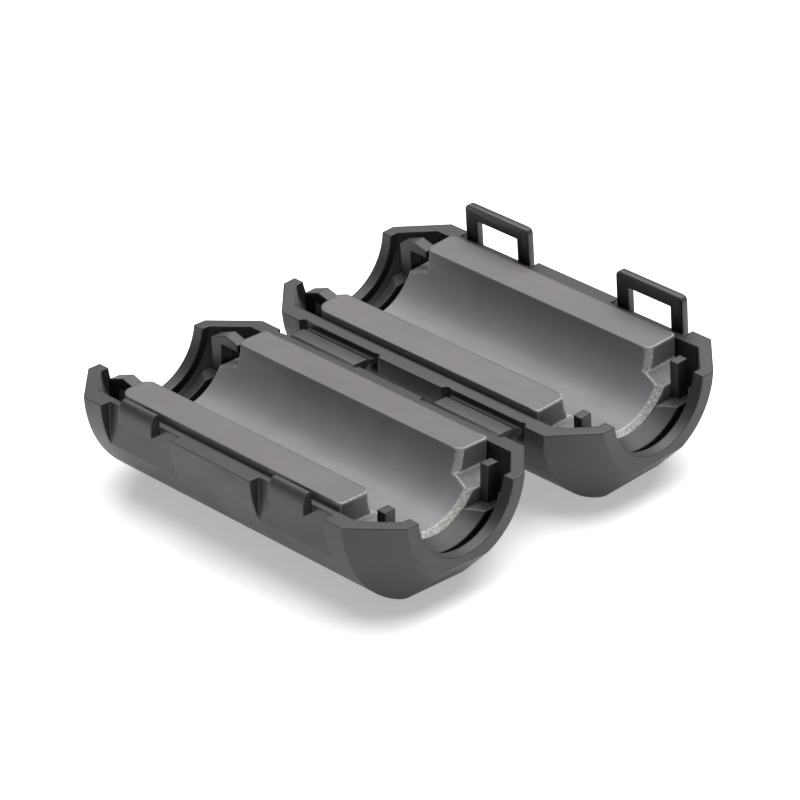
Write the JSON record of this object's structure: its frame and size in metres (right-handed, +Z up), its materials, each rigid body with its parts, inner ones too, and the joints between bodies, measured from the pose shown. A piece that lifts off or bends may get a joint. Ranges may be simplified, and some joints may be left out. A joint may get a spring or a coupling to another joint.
{
  "type": "clip-on ferrite bead",
  "caption": "Clip-on ferrite bead lying open: two hinged plastic half shells with spring latches, each holding half of a ferrite core for a round cable.",
  "frame": {"origin": "centre of the open case, on the surface it lies on", "axes": "+X across the two halves, towards the half with the latch loops; +Y along the cable; +Z up"},
  "size_m": [0.0437, 0.039, 0.0131],
  "materials": {
    "case": "fine moulded matte, charcoal grey",
    "core": "ground sintered ferrite, dull warm grey with bright chipped edges"
  },
  "bodies": {
    "catch_half": {"catch_shell": "case", "core_catch_half": "core"},
    "hinge": {"hinge_strap_far": "case", "hinge_strap_near": "case"},
    "loop_half": {"loop_shell": "case", "core_loop_half": "core"},
    "latch_far": {"latch_loop_far": "case"},
    "latch_near": {"latch_loop_near": "case"}
  },
  "joints": [
    {"name": "fold_catch", "type": "hinge", "parent": "catch_half", "child": "hinge", "pos_m": [-0.00115, 0, 0.00835], "axis": [0, -1, 0], "range_deg": [0, 87.5]},
    {"name": "fold_loop", "type": "hinge", "parent": "hinge", "child": "loop_half", "pos_m": [0.00115, 0, 0.00835], "axis": [0, -1, 0], "range_deg": [0, 87.5]},
    {"name": "latch_far", "type": "hinge", "parent": "loop_half", "child": "latch_far", "pos_m": [0.02187, 0.00925, 0.00716], "axis": [0, 1, 0], "range_deg": [0, 12], "stiffness_Nm_per_rad": 0.02},
    {"name": "latch_near", "type": "hinge", "parent": "loop_half", "child": "latch_near", "pos_m": [0.02187, -0.00925, 0.00716], "axis": [0, 1, 0], "range_deg": [0, 12], "stiffness_Nm_per_rad": 0.02}
  ]
}
